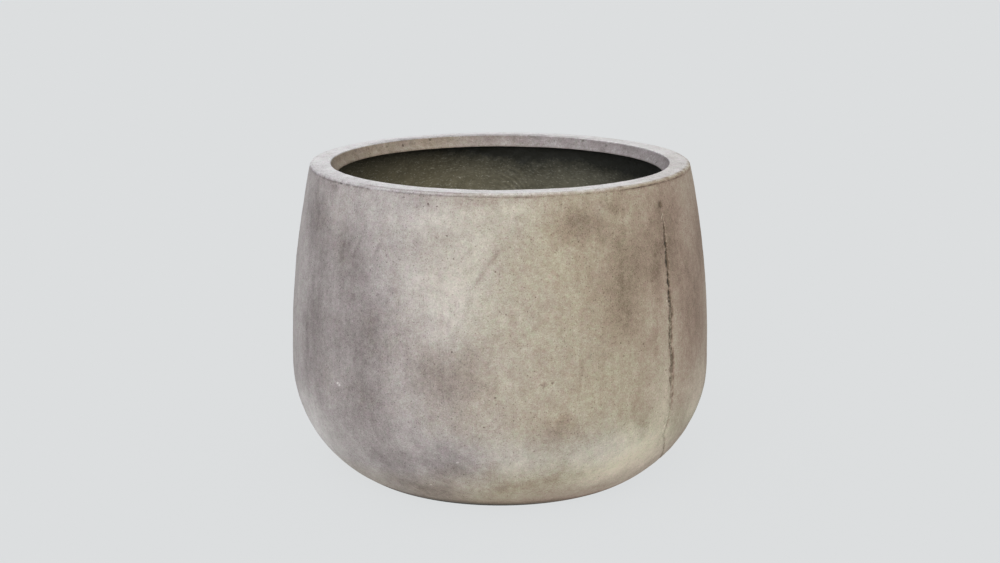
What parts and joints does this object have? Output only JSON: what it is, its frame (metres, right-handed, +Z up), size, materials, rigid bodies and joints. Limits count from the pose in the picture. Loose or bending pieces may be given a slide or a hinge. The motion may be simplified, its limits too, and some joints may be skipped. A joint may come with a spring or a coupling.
{
  "type": "concrete bowl planter",
  "caption": "Low round concrete floor planter with a flat turned-in rim, filled shell joints, a glass-fibre backing and a lift-out rubber drain plug.",
  "frame": {"origin": "centre of the flat underside, on the floor", "axes": "+Z up along the bowl's axis; -Y is the front that the picture shows, and +X is to its right"},
  "size_m": [0.4998, 0.5, 0.371],
  "materials": {
    "cast_concrete": "matte",
    "trowelled_concrete": "matte",
    "joint_mortar": "matte",
    "glass_fibre_resin": "satin",
    "glass_fibre_mat": "satin",
    "plug_rubber": "matte"
  },
  "bodies": {
    "pot": {"shell_front": "cast_concrete", "shell_back": "cast_concrete", "rim_ring": "trowelled_concrete", "base_disc": "cast_concrete", "liner_front": "glass_fibre_resin", "liner_back": "glass_fibre_resin", "liner_base": "glass_fibre_resin", "lip_backing": "glass_fibre_resin", "joint_tape_right": "glass_fibre_mat", "joint_tape_left": "glass_fibre_mat", "base_tape": "glass_fibre_mat", "joint_grout_right": "joint_mortar", "joint_grout_left": "joint_mortar"},
    "plug": {"drain_plug": "plug_rubber"}
  },
  "joints": [
    {"name": "plug_lift", "type": "slide", "parent": "pot", "child": "plug", "axis": [0, 0, 1], "range_m": [0, 0.4]}
  ]
}
